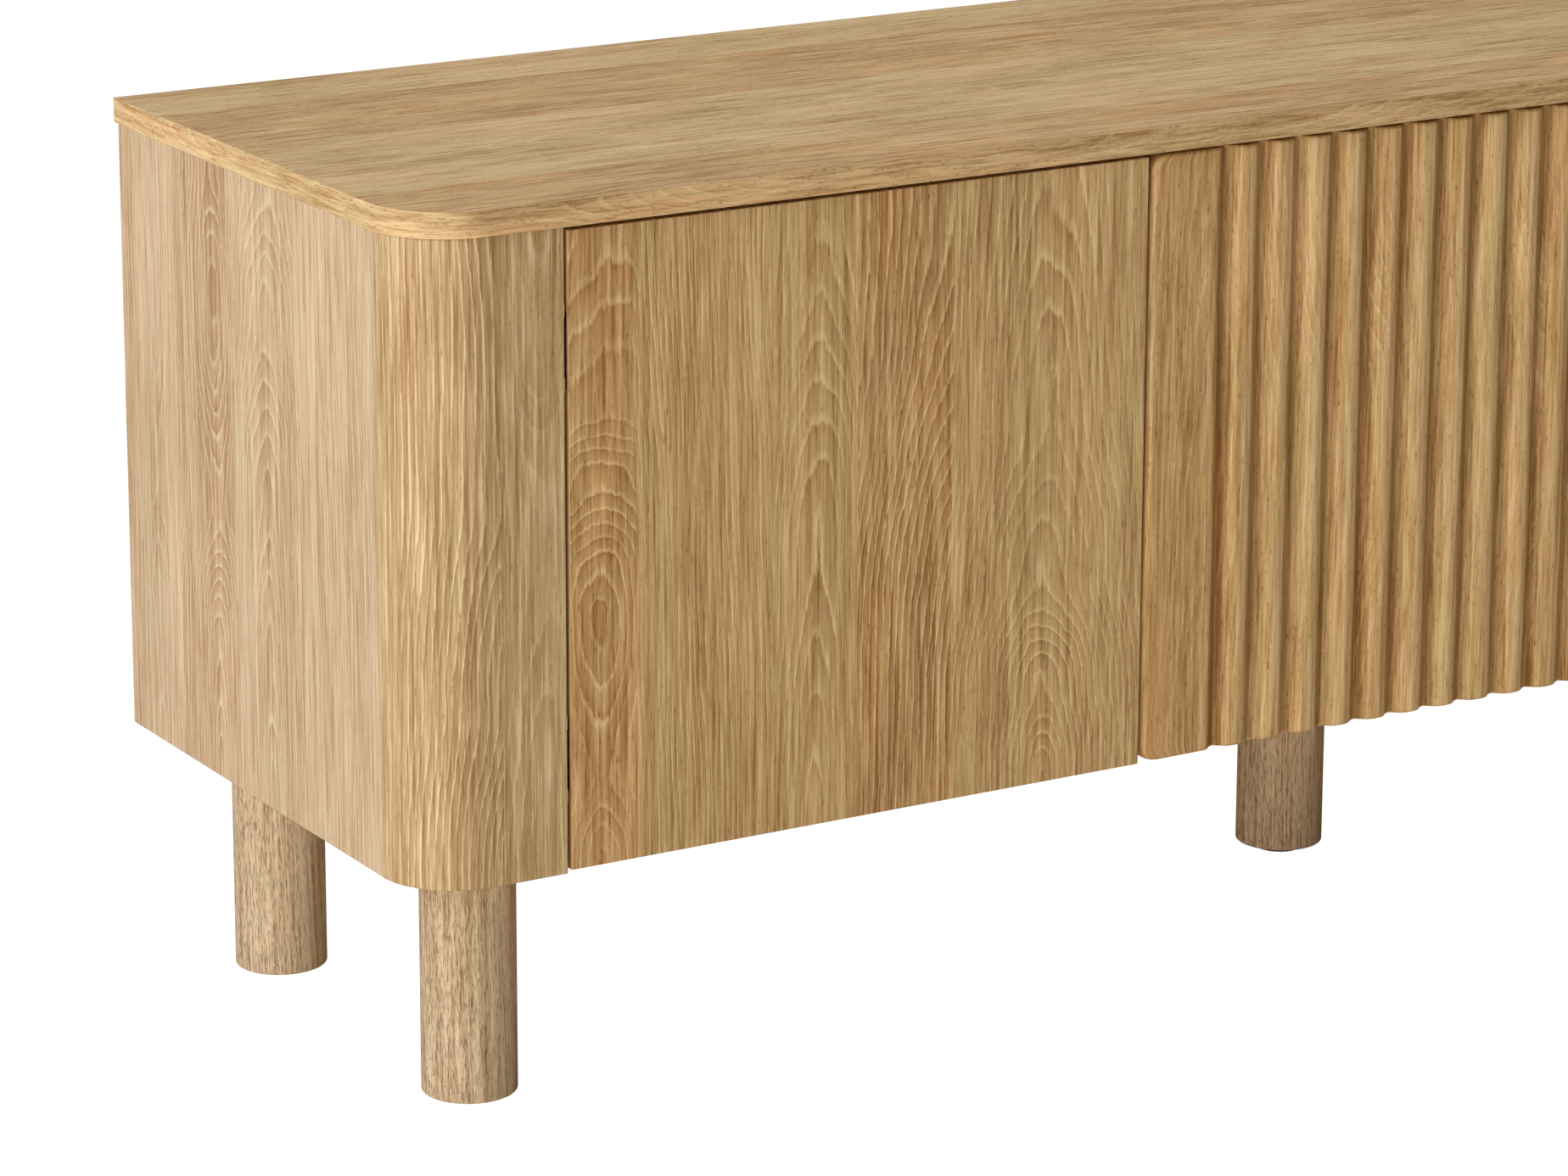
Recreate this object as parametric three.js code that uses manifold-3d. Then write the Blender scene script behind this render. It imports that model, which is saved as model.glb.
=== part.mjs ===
// Media cabinet on round legs: two flat push-to-open doors beside a fluted drop-down flap.
// Millimetres. X runs along the cabinet, -Y is the front, +Z is up, and the origin is on the
// floor under the middle of the cabinet.
import * as THREE from "three";
import { mergeVertices } from "three/addons/utils/BufferGeometryUtils.js";
import Module from "manifold-3d";

const wasm = await Module();
wasm.setup();

// Outer size
const WIDTH = 1500;
const DEPTH = 398;
const HEIGHT = 553.5;

// Boards
const TOP_THICKNESS = 15.6;
const PANEL = 18;
const FACE = 20; // doors and flap
const BACK_BOARD = 8;
const TOP_CORNER_RADIUS = 50;
const SIDE_OVERHANG = 2.6;
const FRONT_OVERHANG = 2.2;
const CARCASS_BOTTOM = 151.3;
const FIT = 0.3; // air left between pieces that touch

// Front layout, measured along X from the middle of the cabinet
const FLAP_HALF_WIDTH = 248;
const DOOR_INNER = 250.5;
const DOOR_OUTER = 648.5;
const POST_INNER = 650.8;
const FACE_BOTTOM = 153;
const FACE_TOP = 535.5;
const FACE_BACK_GAP = 2.5; // air between a closed door and the carcass edge behind it

// Flutes of the flap
const RIBS = 14;
const RIB_PITCH = 27.2;
const RIB_DEPTH = 6.4;
const RIB_FLAT = 12.6;
const FLANK_STEPS = 4;
const FLAP_EDGE_RADIUS = 5;
const FLAP_CORNER_RADIUS = 10;

// Legs
const LEG_RADIUS = 28.9;
const LEG_X = 681.7;
const LEG_Y = 128.2;
const CORNER_LEG_BOTTOM = 2;
const CENTRE_LEG_BOTTOM = 5;
const GLIDE_RADIUS = 12;
const FOOT_RADIUS = 16;
const STEM_RADIUS = 4;

// Concealed mortise hinges of the doors, in the plane across the hinge axis:
// "out" is the distance from the axis along X, "in" the distance behind the front face
const HINGE_LENGTH = 45;
const HINGE_INSET = 70; // hinge centre to the top or bottom edge of the door
const SOCKET_OUT = 14.5;
const SOCKET_IN = [2.5, 15.2];
const POCKET_OUT = 11.6;
const POCKET_IN = [4, 13.5];
const LINK_OUT = 11;
const LINK_IN = [4.5, 7];
const LINK_LEAF = 6;
const LINK_LEAF_STEP = 11;

// Butt hinges under the flap
const FLAP_AXIS_Z = 150.2;
const FLAP_HINGE_X = 160;
const FLAP_HINGE_LENGTH = 60;
const LEAF = 0.8;
const LEAF_TOP = 166;
const KNUCKLE_RADIUS = 1.6;
const PIN_RADIUS = 0.8;
const PIN_CLEARANCE = 0.1;

// Slotted flap stays. The stud on the divider and the pivot on the flap lie on one circle
// about the flap's axis, so the arm turns by half of the flap's angle.
const STAY_RADIUS = 132.8;
const STAY_PIVOT_ANGLE = THREE.MathUtils.degToRad(11.7);
const STAY_STUD_LEAD = THREE.MathUtils.degToRad(12);
const STAY_X = 231.75; // middle of the arm's thickness
const STAY_ARM_THICKNESS = 2.5;
const STAY_ARM_HALF_WIDTH = 8;
const STAY_SLOT_HALF_WIDTH = 3.3;
const STAY_SLOT = [24, 210];
const STUD_RADIUS = 3;
const STUD_HEAD_RADIUS = 5.5;

// Push latches under the top
const LATCH_WIDTH = 14;
const LATCH_HEIGHT = 14;
const LATCH_LENGTH = 60;
const LATCH_SETBACK = 9.5; // latch front behind the closed door's back
const PLUNGER_RADIUS = 3;
const DOOR_LATCH_X = 300;

// Shelves and cable outlets
const SHELF_TOP = 363;
const SHELF_FRONT = -146;
const OUTLET_RADIUS = 30;
const OUTLET_FLANGE = 35;
const OUTLET_INNER = 26;
const OUTLET_X = 493;
const OUTLET_Z = 235;

// Worked-out planes
const FRONT = -DEPTH / 2 + FRONT_OVERHANG;
const BACK = DEPTH / 2;
const SIDE = WIDTH / 2 - SIDE_OVERHANG;
const SIDE_INNER = SIDE - PANEL;
const POST_RADIUS = TOP_CORNER_RADIUS - FRONT_OVERHANG;
const FACE_BACK = FRONT + FACE;
const CARCASS_FRONT = FACE_BACK + FACE_BACK_GAP;
const FLOOR = CARCASS_BOTTOM + PANEL; // upper face of the bottom panel
const CEILING = HEIGHT - TOP_THICKNESS; // underside of the top
const BACK_BOARD_BACK = BACK - BACK_BOARD;
const BACK_BOARD_FRONT = BACK_BOARD_BACK - BACK_BOARD;
const DIVIDER_X = (FLAP_HALF_WIDTH + DOOR_INNER) / 2;
const DOOR_AXIS_X = (DOOR_OUTER + POST_INNER) / 2;
const HALF_GAP = (POST_INNER - DOOR_OUTER) / 2;
const FLAP_AXIS_Y = FACE_BACK + FACE_BACK_GAP / 2;
const HINGE_HEIGHTS = { lower: FACE_BOTTOM + HINGE_INSET, upper: FACE_TOP - HINGE_INSET };
const SIDES = { left: -1, right: 1 };

function material(color, roughness, metalness = 0) {
  return new THREE.MeshStandardMaterial({ color, roughness, metalness });
}

const OAK_TOP = material(0xc9a478, 0.55);
const OAK_SIDE = material(0xd2b48c, 0.55);
const OAK_FACE = material(0xb08a58, 0.55);
const OAK_LEG = material(0xb8976a, 0.6);
const OAK_INSIDE = material(0xc2a06c, 0.6);
const BACKING = material(0xb89a70, 0.7);
const STEEL = material(0x8f9296, 0.35, 1);
const DARK_STEEL = material(0x2a2c2e, 0.4, 1);
const PLASTIC = material(0x8a8d8f, 0.5);
const DARK_PLASTIC = material(0x26272a, 0.6);

const cabinet = new THREE.Group();

function add(name, shape, finish) {
  const mesh = new THREE.Mesh(shape.isBufferGeometry ? shape : geometryOf(shape), finish);
  mesh.name = name;
  cabinet.add(mesh);
}

// A closed geometry as a solid that can be joined and cut.
function solidOf(geometry) {
  const bare = geometry.clone();
  bare.deleteAttribute("normal");
  bare.deleteAttribute("uv");
  const merged = mergeVertices(bare, 1e-4);
  const mesh = new wasm.Mesh({
    numProp: 3,
    vertProperties: merged.attributes.position.array,
    triVerts: new Uint32Array(merged.index.array),
  });
  return new wasm.Manifold(mesh);
}

function geometryOf(solid) {
  const mesh = solid.getMesh();
  return new THREE.BufferGeometry()
    .setAttribute("position", new THREE.BufferAttribute(mesh.vertProperties, 3))
    .setIndex(new THREE.BufferAttribute(mesh.triVerts, 1));
}

function cut(body, ...tools) {
  return tools.reduce((left, tool) => left.subtract(tool), body);
}

function join(first, ...others) {
  return others.reduce((whole, other) => whole.add(other), first);
}

// A box between two limits along each axis; the limits may come in either order.
function block([xa, xb], [ya, yb], [za, zb]) {
  const size = [Math.abs(xb - xa), Math.abs(yb - ya), Math.abs(zb - za)];
  const box = new THREE.BoxGeometry(...size);
  return box.translate((xa + xb) / 2, (ya + yb) / 2, (za + zb) / 2);
}

// A round bar along axis "x", "y" or "z", between two limits on that axis.
function rod(axis, radius, [from, to], [x, y, z], sides = 24) {
  const bar = new THREE.CylinderGeometry(radius, radius, Math.abs(to - from), sides);
  const middle = (from + to) / 2;
  if (axis === "x") bar.rotateZ(-Math.PI / 2).translate(middle, y, z);
  if (axis === "y") bar.translate(x, middle, z);
  if (axis === "z") bar.rotateX(Math.PI / 2).translate(x, y, middle);
  return bar;
}

// A plan outline raised from one height to another.
function raise(outline, [from, to], arcSteps = 12) {
  const options = { depth: to - from, bevelEnabled: false, curveSegments: arcSteps };
  return new THREE.ExtrudeGeometry(outline, options).translate(0, 0, from);
}

function bothSides(make) {
  for (const [word, side] of Object.entries(SIDES)) make(word, side);
}

function topPanel() {
  const halfWidth = WIDTH / 2;
  const front = -DEPTH / 2;
  const r = TOP_CORNER_RADIUS;
  const outline = new THREE.Shape();
  outline.moveTo(-halfWidth, BACK);
  outline.lineTo(-halfWidth, front + r);
  outline.absarc(-halfWidth + r, front + r, r, Math.PI, 1.5 * Math.PI, false);
  outline.absarc(halfWidth - r, front + r, r, 1.5 * Math.PI, 2 * Math.PI, false);
  outline.lineTo(halfWidth, BACK);
  add("top_panel", raise(outline, [CEILING, HEIGHT]), OAK_TOP);
}

// The bottom panel's front corners follow the inside of the corner posts.
function bottomPanel() {
  const half = SIDE_INNER - FIT;
  const r = POST_RADIUS - PANEL - FIT;
  const centreX = half - r;
  const centreY = FRONT + POST_RADIUS;
  const sweep = Math.asin((centreY - CARCASS_FRONT) / r);
  const back = BACK_BOARD_BACK;
  const outline = new THREE.Shape();
  outline.absarc(-centreX, centreY, r, Math.PI, Math.PI + sweep, false);
  outline.absarc(centreX, centreY, r, 2 * Math.PI - sweep, 2 * Math.PI, false);
  outline.lineTo(half, back);
  outline.lineTo(-half, back);
  add("bottom_panel", raise(outline, [CARCASS_BOTTOM, FLOOR]), OAK_INSIDE);
}

function sidePanel(word, side) {
  const front = FRONT + POST_RADIUS + FIT;
  const board = block([side * SIDE_INNER, side * SIDE], [front, BACK], [CARCASS_BOTTOM, CEILING - FIT]);
  add(`side_panel_${word}`, board, OAK_SIDE);
}

// A mortise for one hinge socket, in the post (reach -1) or in the door (reach +1).
function hingeMortise(side, reach, z) {
  const towards = -side * reach;
  const axisX = side * DOOR_AXIS_X;
  const mouth = axisX + towards * (HALF_GAP - 1);
  const end = axisX + towards * (SOCKET_OUT + FIT);
  const halfLength = HINGE_LENGTH / 2 + FIT;
  const depth = [FRONT + SOCKET_IN[0] - FIT, FRONT + SOCKET_IN[1] + FIT];
  return solidOf(block([mouth, end], depth, [z - halfLength, z + halfLength]));
}

function cornerPost(word, side) {
  const outer = POST_RADIUS;
  const inner = POST_RADIUS - PANEL;
  const centreX = side * (SIDE - outer);
  const centreY = FRONT + outer;
  const start = side < 0 ? Math.PI : 0;
  const end = 1.5 * Math.PI;
  const forward = side > 0;
  const outline = new THREE.Shape();
  outline.moveTo(centreX + side * outer, centreY);
  outline.absarc(centreX, centreY, outer, start, end, forward);
  outline.lineTo(side * POST_INNER, FRONT);
  outline.lineTo(side * POST_INNER, FRONT + PANEL);
  outline.absarc(centreX, centreY, inner, end, start, !forward);
  const bar = solidOf(raise(outline, [CARCASS_BOTTOM, CEILING - FIT], 14));
  const mortises = Object.values(HINGE_HEIGHTS).map((z) => hingeMortise(side, -1, z));
  add(`corner_post_${word}`, cut(bar, ...mortises), OAK_SIDE);
}

function postBatten(word, side) {
  const x = [side * (POST_INNER + 4), side * (POST_INNER + 44)];
  const y = [FRONT + PANEL + FIT, FRONT + 2 * PANEL + FIT];
  add(`post_batten_${word}`, block(x, y, [FLOOR + FIT, CEILING - FIT]), OAK_INSIDE);
}

function divider(word, side) {
  const x = [side * (DIVIDER_X - PANEL / 2), side * (DIVIDER_X + PANEL / 2)];
  const y = [CARCASS_FRONT, BACK_BOARD_FRONT - FIT];
  add(`divider_${word}`, block(x, y, [FLOOR + FIT, CEILING - FIT]), OAK_INSIDE);
}

function outletPlaces() {
  return { left: -OUTLET_X, centre: 0, right: OUTLET_X };
}

function backPanel() {
  const half = SIDE_INNER - FIT;
  const y = [BACK_BOARD_FRONT, BACK_BOARD_BACK];
  const board = solidOf(block([-half, half], y, [FLOOR + FIT, CEILING - FIT]));
  const holes = Object.values(outletPlaces()).map((x) =>
    solidOf(rod("y", OUTLET_RADIUS, [y[0] - 1, y[1] + 1], [x, 0, OUTLET_Z])),
  );
  add("back_panel", cut(board, ...holes), BACKING);
}

// A flanged sleeve that lines one cable outlet from behind.
function cableOutlet(word, x) {
  const sleeve = rod("y", OUTLET_RADIUS - 0.5, [BACK_BOARD_FRONT, BACK_BOARD_BACK + 2], [x, 0, OUTLET_Z]);
  const flangeAt = [BACK_BOARD_BACK + FIT, BACK_BOARD_BACK + 2];
  const flange = rod("y", OUTLET_FLANGE, flangeAt, [x, 0, OUTLET_Z]);
  const bore = rod("y", OUTLET_INNER, [BACK_BOARD_FRONT - 1, BACK], [x, 0, OUTLET_Z]);
  const ring = cut(join(solidOf(sleeve), solidOf(flange)), solidOf(bore));
  add(`cable_outlet_${word}`, ring, DARK_PLASTIC);
}

function shelf(word, side) {
  const x = [side * (DIVIDER_X + PANEL / 2 + FIT), side * (SIDE_INNER - FIT)];
  const y = [SHELF_FRONT, BACK_BOARD_FRONT - FIT];
  add(`shelf_${word}`, block(x, y, [SHELF_TOP - PANEL, SHELF_TOP]), OAK_INSIDE);
}

// A corner leg has a shallow recess for its glide; the middle one has a bore for a screw foot.
function leg(word, x, y, bottom, boreRadius, boreDepth) {
  const post = solidOf(rod("z", LEG_RADIUS, [bottom, CARCASS_BOTTOM - FIT], [x, y, 0], 48));
  const bore = solidOf(rod("z", boreRadius, [bottom - 1, bottom + boreDepth], [x, y, 0]));
  add(`leg_${word}`, cut(post, bore), OAK_LEG);
}

function legs() {
  const ends = { front: -LEG_Y, rear: LEG_Y };
  bothSides((word, side) => {
    for (const [end, y] of Object.entries(ends)) {
      const x = side * LEG_X;
      leg(`${end}_${word}`, x, y, CORNER_LEG_BOTTOM, GLIDE_RADIUS + FIT, 3);
      const glide = rod("z", GLIDE_RADIUS, [0, CORNER_LEG_BOTTOM + 2.7], [x, y, 0]);
      add(`glide_${end}_${word}`, glide, DARK_PLASTIC);
    }
  });
  const stemTop = CENTRE_LEG_BOTTOM + 25;
  leg("centre", 0, 0, CENTRE_LEG_BOTTOM, STEM_RADIUS + FIT, 26);
  const disc = solidOf(rod("z", FOOT_RADIUS, [0, CENTRE_LEG_BOTTOM - FIT], [0, 0, 0]));
  const stem = solidOf(rod("z", STEM_RADIUS, [1, stemTop], [0, 0, 0]));
  add("levelling_foot_centre", join(disc, stem), DARK_PLASTIC);
}

function door(word, side) {
  const board = block([side * DOOR_INNER, side * DOOR_OUTER], [FRONT, FACE_BACK], [FACE_BOTTOM, FACE_TOP]);
  const mortises = Object.values(HINGE_HEIGHTS).map((z) => hingeMortise(side, 1, z));
  add(`door_${word}`, cut(solidOf(board), ...mortises), OAK_FACE);
}

// Front outline across one valley between two ribs: a smooth wave down and up again.
function valleyPoints(centreX) {
  const flank = (RIB_PITCH - RIB_FLAT) / 2;
  const points = [];
  for (let step = -FLANK_STEPS; step <= FLANK_STEPS; step++) {
    const share = step / FLANK_STEPS;
    const depth = (RIB_DEPTH * (1 + Math.cos(Math.PI * share))) / 2;
    points.push([centreX + share * flank, FRONT + depth]);
  }
  return points;
}

function flap() {
  const r = FLAP_EDGE_RADIUS;
  const half = FLAP_HALF_WIDTH;
  const outline = new THREE.Shape();
  outline.absarc(-half + r, FRONT + r, r, Math.PI, 1.5 * Math.PI, false);
  for (let valley = 0; valley <= RIBS; valley++) {
    valleyPoints((valley - RIBS / 2) * RIB_PITCH).forEach(([x, y]) => outline.lineTo(x, y));
  }
  outline.absarc(half - r, FRONT + r, r, 1.5 * Math.PI, 2 * Math.PI, false);
  outline.lineTo(half, FACE_BACK);
  outline.lineTo(-half, FACE_BACK);
  const fluted = solidOf(raise(outline, [FACE_BOTTOM, FACE_TOP], 5));

  // The face seen from the front has rounded corners.
  const c = FLAP_CORNER_RADIUS;
  const face = new THREE.Shape();
  face.absarc(half - c, FACE_TOP - c, c, 0, Math.PI / 2, false);
  face.absarc(-half + c, FACE_TOP - c, c, Math.PI / 2, Math.PI, false);
  face.absarc(-half + c, FACE_BOTTOM + c, c, Math.PI, 1.5 * Math.PI, false);
  face.absarc(half - c, FACE_BOTTOM + c, c, 1.5 * Math.PI, 2 * Math.PI, false);
  const slab = raise(face, [-FACE_BACK - 1, -FRONT + 1], 5).rotateX(Math.PI / 2);
  add("flap_door", fluted.intersect(solidOf(slab)), OAK_FACE);
}

// One half of a concealed hinge: a steel box with a pocket that is open towards the gap.
function hingeSocket(name, side, reach, z) {
  const towards = -side * reach;
  const at = (out) => side * DOOR_AXIS_X + towards * out;
  const half = HINGE_LENGTH / 2;
  const box = block(
    [at(HALF_GAP + FIT), at(SOCKET_OUT)],
    [FRONT + SOCKET_IN[0], FRONT + SOCKET_IN[1]],
    [z - half, z + half],
  );
  const pocket = block(
    [at(0), at(POCKET_OUT)],
    [FRONT + POCKET_IN[0], FRONT + POCKET_IN[1]],
    [z - half + 4, z + half - 4],
  );
  add(name, cut(solidOf(box), solidOf(pocket)), STEEL);
}

// The links between the two halves: three leaves on one cross pin.
function hingeLink(name, side, z) {
  const axisX = side * DOOR_AXIS_X;
  const y = [FRONT + LINK_IN[0], FRONT + LINK_IN[1]];
  const middle = (LINK_IN[0] + LINK_IN[1]) / 2;
  const reach = LINK_LEAF_STEP + LINK_LEAF / 2;
  const pin = rod("z", 1.2, [z - reach, z + reach], [axisX, FRONT + middle, 0], 12);
  const leaves = [-1, 0, 1].map((place) => {
    const leafZ = z + place * LINK_LEAF_STEP;
    const limits = [leafZ - LINK_LEAF / 2, leafZ + LINK_LEAF / 2];
    return solidOf(block([axisX - LINK_OUT, axisX + LINK_OUT], y, limits));
  });
  add(name, join(solidOf(pin), ...leaves), DARK_STEEL);
}

function doorHinges(word, side) {
  for (const [place, z] of Object.entries(HINGE_HEIGHTS)) {
    hingeSocket(`hinge_socket_post_${word}_${place}`, side, -1, z);
    hingeSocket(`hinge_socket_door_${word}_${place}`, side, 1, z);
    hingeLink(`hinge_link_${word}_${place}`, side, z);
  }
}

// One leaf of a butt hinge with its knuckles; the other leaf's knuckles fit between them.
function flapLeaf(name, x, y, knuckles) {
  const half = FLAP_HINGE_LENGTH / 2;
  const axis = [0, FLAP_AXIS_Y, FLAP_AXIS_Z];
  const plate = block([x - half, x + half], y, [FLAP_AXIS_Z + KNUCKLE_RADIUS + FIT, LEAF_TOP]);
  const parts = knuckles.flatMap(([from, to]) => [
    solidOf(block([x + from, x + to], y, [FLAP_AXIS_Z, LEAF_TOP])),
    solidOf(rod("x", KNUCKLE_RADIUS, [x + from, x + to], axis, 20)),
  ]);
  const bore = rod("x", PIN_RADIUS + PIN_CLEARANCE, [x - half - 1, x + half + 1], axis, 20);
  add(name, cut(join(solidOf(plate), ...parts), solidOf(bore)), STEEL);
}

function flapHinge(word, side) {
  const x = side * FLAP_HINGE_X;
  const half = FLAP_HINGE_LENGTH / 2;
  const third = FLAP_HINGE_LENGTH / 6;
  const fixedY = [CARCASS_FRONT - FIT - LEAF, CARCASS_FRONT - FIT];
  const movingY = [FACE_BACK + FIT, FACE_BACK + FIT + LEAF];
  flapLeaf(`flap_hinge_fixed_leaf_${word}`, x, fixedY, [[-half, -third - FIT], [third + FIT, half]]);
  flapLeaf(`flap_hinge_moving_leaf_${word}`, x, movingY, [[-third, third]]);
  const pin = rod("x", PIN_RADIUS, [x - half, x + half], [0, FLAP_AXIS_Y, FLAP_AXIS_Z], 20);
  add(`flap_hinge_pin_${word}`, pin, STEEL);
}

// A point of the stay, by its angle back from the vertical through the flap's axis.
function stayPoint(angle) {
  const y = FLAP_AXIS_Y + STAY_RADIUS * Math.sin(angle);
  return [y, FLAP_AXIS_Z + STAY_RADIUS * Math.cos(angle)];
}

// A long hole or bar with round ends, drawn along +X from one end centre to the other.
function stadium(from, to, radius) {
  const outline = new THREE.Shape();
  outline.absarc(to, 0, radius, -Math.PI / 2, Math.PI / 2, false);
  outline.absarc(from, 0, radius, Math.PI / 2, 1.5 * Math.PI, false);
  return outline;
}

function stay(word, side) {
  const pivot = stayPoint(STAY_PIVOT_ANGLE);
  const stud = stayPoint(STAY_PIVOT_ANGLE + STAY_STUD_LEAD);
  const slope = Math.atan2(stud[1] - pivot[1], stud[0] - pivot[0]);
  const at = (x) => side * x;
  const armHalf = STAY_ARM_THICKNESS / 2;
  const headAt = STAY_X - armHalf - 0.6;

  const arm = solidOf(raise(stadium(0, STAY_SLOT[1], STAY_ARM_HALF_WIDTH), [-armHalf, armHalf], 8));
  const slot = solidOf(raise(stadium(...STAY_SLOT, STAY_SLOT_HALF_WIDTH), [-3, 3], 8));
  const eye = solidOf(rod("z", STUD_RADIUS + FIT, [-3, 3], [0, 0, 0]));
  const blank = geometryOf(cut(arm, slot, eye));
  // The arm's own X turns into the slope in the YZ plane, its thickness along X.
  blank.rotateZ(slope).rotateX(Math.PI / 2).rotateZ(Math.PI / 2);
  add(`stay_arm_${word}`, blank.translate(at(STAY_X), pivot[0], pivot[1]), STEEL);

  const wall = DIVIDER_X - PANEL / 2 - FIT;
  const studAxis = [0, stud[0], stud[1]];
  const shank = solidOf(rod("x", STUD_RADIUS, [at(wall), at(headAt - 2)], studAxis));
  const flange = solidOf(rod("x", STUD_HEAD_RADIUS + 2, [at(wall), at(wall - 3)], studAxis));
  const head = solidOf(rod("x", STUD_HEAD_RADIUS, [at(headAt), at(headAt - 2)], studAxis));
  add(`stay_stud_${word}`, join(shank, flange, head), STEEL);

  const base = FACE_BACK + FIT;
  const earX = [at(STAY_X + armHalf + 1), at(STAY_X + armHalf + 4)];
  const foot = block([earX[1], at(STAY_X - 16)], [base, base + 2.5], [pivot[1] - 20, pivot[1] + 20]);
  const ear = block(earX, [base, pivot[0] + 7], [pivot[1] - 12, pivot[1] + 12]);
  const pivotAxis = [0, pivot[0], pivot[1]];
  const pin = rod("x", STUD_RADIUS, [earX[1], at(headAt - 2)], pivotAxis);
  const cap = rod("x", STUD_HEAD_RADIUS, [at(headAt), at(headAt - 2)], pivotAxis);
  add(`stay_bracket_${word}`, join(...[foot, ear, pin, cap].map(solidOf)), STEEL);
}

function pushLatch(word, x) {
  const front = FACE_BACK + LATCH_SETBACK;
  const z = CEILING - FIT - LATCH_HEIGHT / 2;
  const tip = FACE_BACK + FIT;
  const sides = [x - LATCH_WIDTH / 2, x + LATCH_WIDTH / 2];
  const heights = [z - LATCH_HEIGHT / 2, z + LATCH_HEIGHT / 2];
  const bore = rod("y", PLUNGER_RADIUS + FIT, [front - 1, front + LATCH_LENGTH - 8], [x, 0, z]);
  const housing = solidOf(block(sides, [front, front + LATCH_LENGTH], heights));
  add(`latch_housing_${word}`, cut(housing, solidOf(bore)), PLASTIC);

  const end = front + LATCH_LENGTH - 12;
  const profile = [
    new THREE.Vector2(0, 0),
    new THREE.Vector2(PLUNGER_RADIUS - 1, 0),
    new THREE.Vector2(PLUNGER_RADIUS, 1),
    new THREE.Vector2(PLUNGER_RADIUS, end - tip),
    new THREE.Vector2(0, end - tip),
  ];
  add(`latch_plunger_${word}`, new THREE.LatheGeometry(profile, 20).translate(x, tip, z), PLASTIC);
}

topPanel();
bottomPanel();
backPanel();
bothSides(sidePanel);
bothSides(cornerPost);
bothSides(postBatten);
bothSides(divider);
bothSides(shelf);
for (const [word, x] of Object.entries(outletPlaces())) cableOutlet(word, x);
legs();
bothSides(door);
bothSides(doorHinges);
flap();
bothSides(flapHinge);
bothSides(stay);
bothSides((word, side) => pushLatch(`door_${word}`, side * DOOR_LATCH_X));
pushLatch("flap", 0);

export default cabinet;
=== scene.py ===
import math

import bmesh
import bpy
from mathutils import Matrix, Vector


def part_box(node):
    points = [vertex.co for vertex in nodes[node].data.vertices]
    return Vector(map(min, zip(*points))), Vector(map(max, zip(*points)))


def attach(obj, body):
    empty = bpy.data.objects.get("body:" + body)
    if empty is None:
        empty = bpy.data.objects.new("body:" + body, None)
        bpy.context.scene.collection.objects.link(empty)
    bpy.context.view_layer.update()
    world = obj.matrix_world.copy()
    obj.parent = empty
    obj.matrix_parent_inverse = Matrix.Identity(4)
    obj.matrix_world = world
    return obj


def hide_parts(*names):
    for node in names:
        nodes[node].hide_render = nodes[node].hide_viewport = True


# A low media cabinet in oak veneer: two flat doors beside a fluted flap, on five round legs.
# Metres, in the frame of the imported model: -Y is the front, +Z is up, and the floor is at z 0.

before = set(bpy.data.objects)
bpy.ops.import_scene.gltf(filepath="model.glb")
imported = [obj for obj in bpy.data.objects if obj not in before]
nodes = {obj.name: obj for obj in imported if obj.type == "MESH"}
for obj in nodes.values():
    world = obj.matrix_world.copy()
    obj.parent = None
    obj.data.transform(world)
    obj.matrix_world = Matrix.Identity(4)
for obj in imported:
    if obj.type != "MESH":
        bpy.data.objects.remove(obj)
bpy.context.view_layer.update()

MM = 0.001
SIDES = {"left": -1, "right": 1}  # the word in a node's name, and the sign of its x
NEAR = 0.01 * MM  # two places closer than this are the same


def box(node):
    """The lowest and highest corner of a CAD node."""
    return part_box(node)


TOP_LOW, TOP_HIGH = box("top_panel")
FLAP_LOW, FLAP_HIGH = box("flap_door")
POST_LOW = box("corner_post_left")[0]
PANEL_LOW, PANEL_HIGH = box("side_panel_left")

PANEL = PANEL_HIGH.x - PANEL_LOW.x
TOP_CORNER_RADIUS = 50 * MM
POST_RADIUS = TOP_CORNER_RADIUS - (POST_LOW.y - TOP_LOW.y)
FIT = 0.3 * MM
ARRIS = 0.7 * MM
ARRIS_SEGMENTS = 2
SHARP = 30  # degrees between two faces, from which their edge gets an arris

# Flutes of the flap
RIBS = 14
RIB_PITCH = 27.2 * MM
RIB_DEPTH = 6.4 * MM
RIB_FLAT = 8.0 * MM  # the CAD has 12.6 and no dome
RIB_DOME = 0.6 * MM
FLANK_STEPS = 11  # on each side of a valley
CREST_STEPS = 4  # on each side of a crest's middle
# Painted shade in the valleys between the ribs: how much darker their colour gets at the bottom, and how
# fast it darkens with depth
PAINTED_VALLEY_SHADE = 0.40
VALLEY_CURVE = 0.6
FLAP_EDGE_RADIUS = 5 * MM
FLAP_CORNER_RADIUS = 10 * MM
FLAP_END_ROUNDING = 2.2 * MM

# Steps in which the outer pieces are drawn
BOARD_ROWS = 44
FLAP_ROWS = 30
TOP_ROWS = 8
TOP_COLUMNS = 60
TOP_CORNER_ANGLES = [*range(0, 88, 4), 90]  # degrees
LEG_ROWS = 12
LEG_SIDES = 96


# ---------------------------------------------------------------- camera, light and floor

CAMERA_PLACE = Vector((-2.16916, -2.99474, 1.25267))
CAMERA_YAW = 0.53646  # to the right of +Y
CAMERA_PITCH = 0.25645  # downwards
CAMERA_ROLL = 0.00266
LENS = 132.13
LENS_DROP = -0.10  # share of the width; it keeps uprights nearly parallel although the view is from above
SENSOR = 36.0
FAR = 100


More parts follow.
